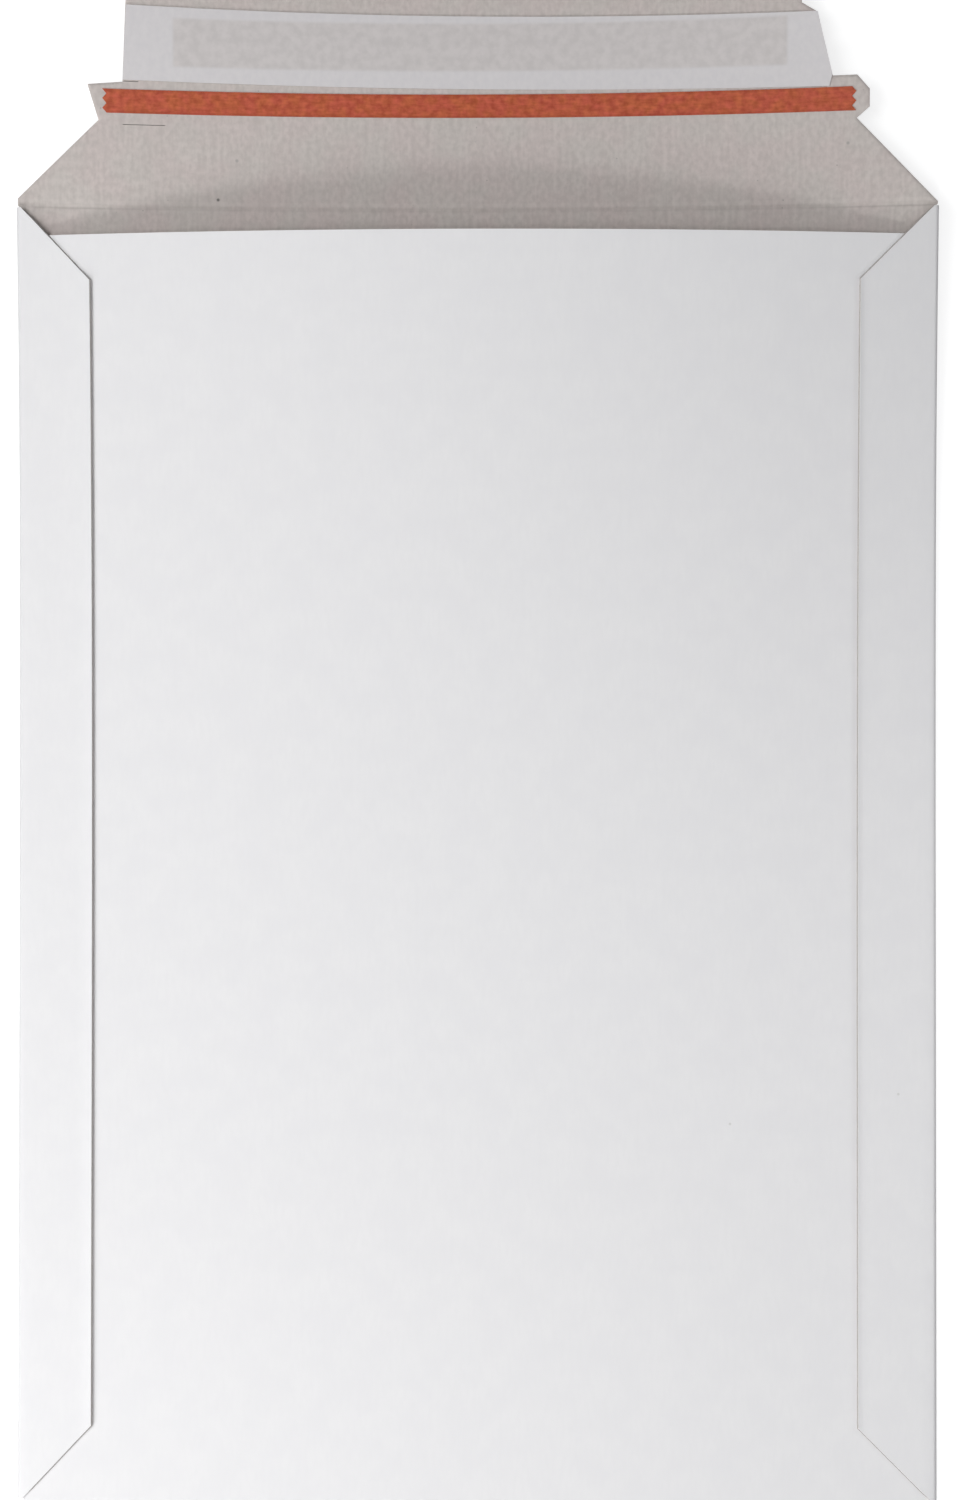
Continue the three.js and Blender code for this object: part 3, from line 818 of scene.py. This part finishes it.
def board_rows():
    """Rows along which the board's blank is divided."""
    panel_rows = [
        *spaced(side_low, SEAM_FLAT_LENGTH, FLAT_PITCH),
        *spaced(SEAM_FLAT_LENGTH, MOUTH, CURL_PITCH),
    ]
    return [
        *(2 * bottom_fold_outer - bottom_arc - row for row in panel_rows[:-1]),
        *spaced(bottom_fold_outer - bottom_arc, bottom_fold_outer, bottom_arc / FOLD_STEPS),
        *panel_rows,
        *spaced(MOUTH, crease_low, CURL_PITCH),
        *spaced(crease_low, crease_high, CREASE_WIDTH / CREASE_STEPS),
        *spaced(crease_high, END, FLAP_PITCH)[:-1],
        *(edge for slit in slits for edge in slit[2:]),
    ]


def board_columns():
    """Columns along which the board's blank is divided."""
    left_edge = WIDTH / 2 - LEFT_FLAP_WIDTH
    right_edge = WIDTH / 2 - RIGHT_FLAP_WIDTH
    columns = [
        *spaced(-left_edge, right_edge, COLUMN_PITCH),
        *(edge for slit in slits for edge in slit[:2]),
    ]
    for side, edge in ((-1, left_edge), (1, right_edge)):
        flap_edge = fold_end + fold_start - edge
        half_columns = [
            *spaced(edge, fold_start, COLUMN_PITCH),
            *spaced(fold_start, fold_end, side_arc / FOLD_STEPS),
            *spaced(fold_end, flap_edge - GLUE_INSET, COLUMN_PITCH),
            *spaced(flap_edge - GLUE_INSET, flap_edge, EDGE_PITCH)[:-1],
        ]
        columns += [side * column for column in half_columns]
    return columns


def board():
    """The whole board, cut from one blank and folded."""
    left = [(-across, row) for across, row in reversed(blank_side(LEFT_FLAP_WIDTH))]
    outline = [*blank_side(RIGHT_FLAP_WIDTH), *flap_outline, *left]
    sheet = cut_sheet(outline, board_rows(), board_columns())
    for start, end in flap_sides:
        for step in range(CRUSH_STEPS):
            cut_beside(sheet, start, end, CRUSH_WIDTH * (step + 1) / CRUSH_STEPS)
    for slit in slits:
        open_slit(sheet, *slit)
    thicken(sheet, fold_board, slanted_cuts(sheet))
    add_piece("board", sheet, (white_lining(), grey_fibre(), cut_edge()), "board", "folded_board")


def tear_strip():
    """The tape across the closing flap, whose pinked ends are alike because one cut makes both."""
    rows = [tape_low + (tape_high - tape_low) * k / PINKING_STEPS for k in range(PINKING_STEPS + 1)]
    zigzag = [(0 if k % 2 else PINKING_DEPTH, row) for k, row in enumerate(rows)]
    inner = tape_right - PINKING_DEPTH
    outline = [(inner + step, row) for step, row in zigzag]
    outline += [(tape_left + step, row) for step, row in reversed(zigzag)]
    sheet = cut_sheet(outline, rows[1:-1], spaced(tape_left + PINKING_DEPTH, inner, COLUMN_PITCH))
    thicken(sheet, lambda across, row, face: on_flap(across, row, STICK_GAP + face * TAPE_THICKNESS))
    finish = red_tape()
    add_piece("tear_strip", sheet, (finish, finish, finish), "tear_tape", "tear_tape")


def closing_adhesive():
    """The adhesive, square on the end panel, and the release liner over it, a little askew."""
    low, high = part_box("adhesive_strip")
    low = Vector((low.x, low.y - BOTTOM))
    high = Vector((high.x, high.y - BOTTOM))
    outline = [low.xy, (high.x, low.y), high.xy, (low.x, high.y)]
    columns = spaced(liner_left, liner_right, COLUMN_PITCH)[1:-1]
    film = cut_sheet(outline, spaced(low.y, high.y, FLAP_PITCH)[1:-1], columns)
    thicken(film, lambda across, row, face: on_flap(across, row, STICK_GAP + face * ADHESIVE_THICKNESS))
    tack = tacky_film()
    add_piece("adhesive_film", film, (tack, tack, tack), "adhesive", "adhesive_strip")

    outline = [
        (liner_left, 0),
        (liner_right - LINER_CORNER_REACH, 0),
        (liner_right, LINER_CORNER_RISE),
        (liner_right - RIGHT_END_LEAN, LINER_WIDTH),
        (liner_left + LEFT_END_LEAN, LINER_WIDTH),
    ]
    outline = [(across, liner_low + row + LINER_SKEW * across) for across, row in outline]
    bed = 2 * STICK_GAP + ADHESIVE_THICKNESS
    rows = spaced(liner_low, liner_low + LINER_WIDTH, FLAP_PITCH)
    liner = cut_sheet(outline, rows, columns)
    thicken(liner, lambda across, row, face: on_flap(across, row, bed + face * LINER_THICKNESS))
    paper = glazed_liner(low, high)
    add_piece("liner", liner, (paper, paper, paper), "release_liner", "release_liner")


def seam_glue():
    """The two stripes of glue between the seam panel and the side flaps."""
    cream = cured_glue()
    for name in ("left", "right"):
        low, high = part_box(f"{name}_seam_glue")
        outline = [(low.x, low.y), (high.x, low.y), (high.x, high.y), (low.x, high.y)]
        outline = [(across, row - BOTTOM) for across, row in outline]
        rows = spaced(low.y - BOTTOM, high.y - BOTTOM, CURL_PITCH)[1:-1]
        sheet = cut_sheet(outline, rows, spaced(low.x, high.x, COLUMN_PITCH)[1:-1])
        thicken(sheet, in_seam)
        add_piece(f"{name}_glue", sheet, (cream, cream, cream), "seam_glue", f"{name}_seam_glue")


def seen(material):
    """One where the background is looked at straight on or shows in a gloss, and nothing elsewhere."""
    path = node(material, "ShaderNodeLightPath")
    straight = combine(material, "MAXIMUM", path.outputs["Is Camera Ray"], path.outputs["Is Glossy Ray"])
    return combine(material, "MAXIMUM", straight, path.outputs["Is Transmission Ray"])


def pale_floor():
    """A white floor that keeps the envelope's shadow."""
    floor = bmesh.new()
    bmesh.ops.create_grid(floor, x_segments=1, y_segments=1, size=FLOOR_SIZE)
    bmesh.ops.translate(floor, verts=floor.verts, vec=(0, 0, -FLOOR_DROP))
    mesh = bpy.data.meshes.new("floor")
    floor.to_mesh(mesh)
    floor.free()
    ground = bpy.data.objects.new("floor", mesh)
    bpy.context.collection.objects.link(ground)
    material, shader = new_finish(
        "floor_white", Base_Color=FLOOR_GREY, Roughness=1.0, Specular_IOR_Level=0.0, Emission_Color=WHITE
    )
    from_middle = node(material, "ShaderNodeVectorMath", operation="LENGTH")
    link(material, node(material, "ShaderNodeTexCoord").outputs["Object"], from_middle.inputs["Vector"])
    distance = from_middle.outputs["Value"]
    glow = ramp(material, distance, FLOOR_NEAR, FLOOR_FAR, FLOOR_GLOW, WHITE_STRENGTH)
    link(material, combine(material, "MULTIPLY", seen(material), glow), shader.inputs["Emission Strength"])
    mesh.materials.append(material)


def lamp(name, place, size, power):
    """A square soft lamp that points at the envelope's middle."""
    light = bpy.data.lights.new(name, "AREA")
    light.size = size
    light.energy = power
    holder = bpy.data.objects.new(name, light)
    holder.location = place
    holder.rotation_euler = (-Vector(place)).to_track_quat("-Z", "Y").to_euler()
    holder.visible_camera = False
    bpy.context.collection.objects.link(holder)


def studio():
    """The lamps, an even fill and a white backdrop that gives no light of its own."""
    for name, (place, size, power) in LAMPS.items():
        lamp(name, place, size, power)
    world = bpy.data.worlds.new("studio_fill")
    world.use_nodes = True
    fill = world.node_tree.nodes["Background"]
    fill.inputs["Color"].default_value = FILL_COLOUR
    fill.inputs["Strength"].default_value = FILL_STRENGTH
    backdrop = node(world, "ShaderNodeBackground", {"Color": WHITE, "Strength": WHITE_STRENGTH})
    either = node(world, "ShaderNodeMixShader")
    link(world, seen(world), either.inputs["Fac"])
    link(world, fill.outputs["Background"], either.inputs[1])
    link(world, backdrop.outputs["Background"], either.inputs[2])
    link(world, either.outputs["Shader"], world.node_tree.nodes["World Output"].inputs["Surface"])
    bpy.context.scene.world = world


def camera():
    """Straight above the envelope, a little off its middle and turned by under a degree each way."""
    across, row, height = CAMERA_PLACE
    place = Vector((across, BOTTOM + row, height))
    yaw = Matrix.Rotation(CAMERA_YAW, 3, "Y")
    pitch = Matrix.Rotation(CAMERA_PITCH, 3, "X")
    roll = Matrix.Rotation(CAMERA_ROLL, 3, "Z")
    lens = bpy.data.cameras.new("camera")
    lens.sensor_width = SENSOR
    lens.lens = FOCAL_PIXELS * SENSOR / IMAGE_HEIGHT
    lens.clip_start = CAMERA_CLIP
    view = bpy.data.objects.new("camera", lens)
    view.matrix_world = Matrix.Translation(place) @ (yaw @ pitch @ roll).transposed().to_4x4()
    bpy.context.collection.objects.link(view)
    bpy.context.scene.camera = view


board()
tear_strip()
closing_adhesive()
seam_glue()
pale_floor()
studio()
camera()
bpy.context.scene.view_settings.view_transform = "Standard"
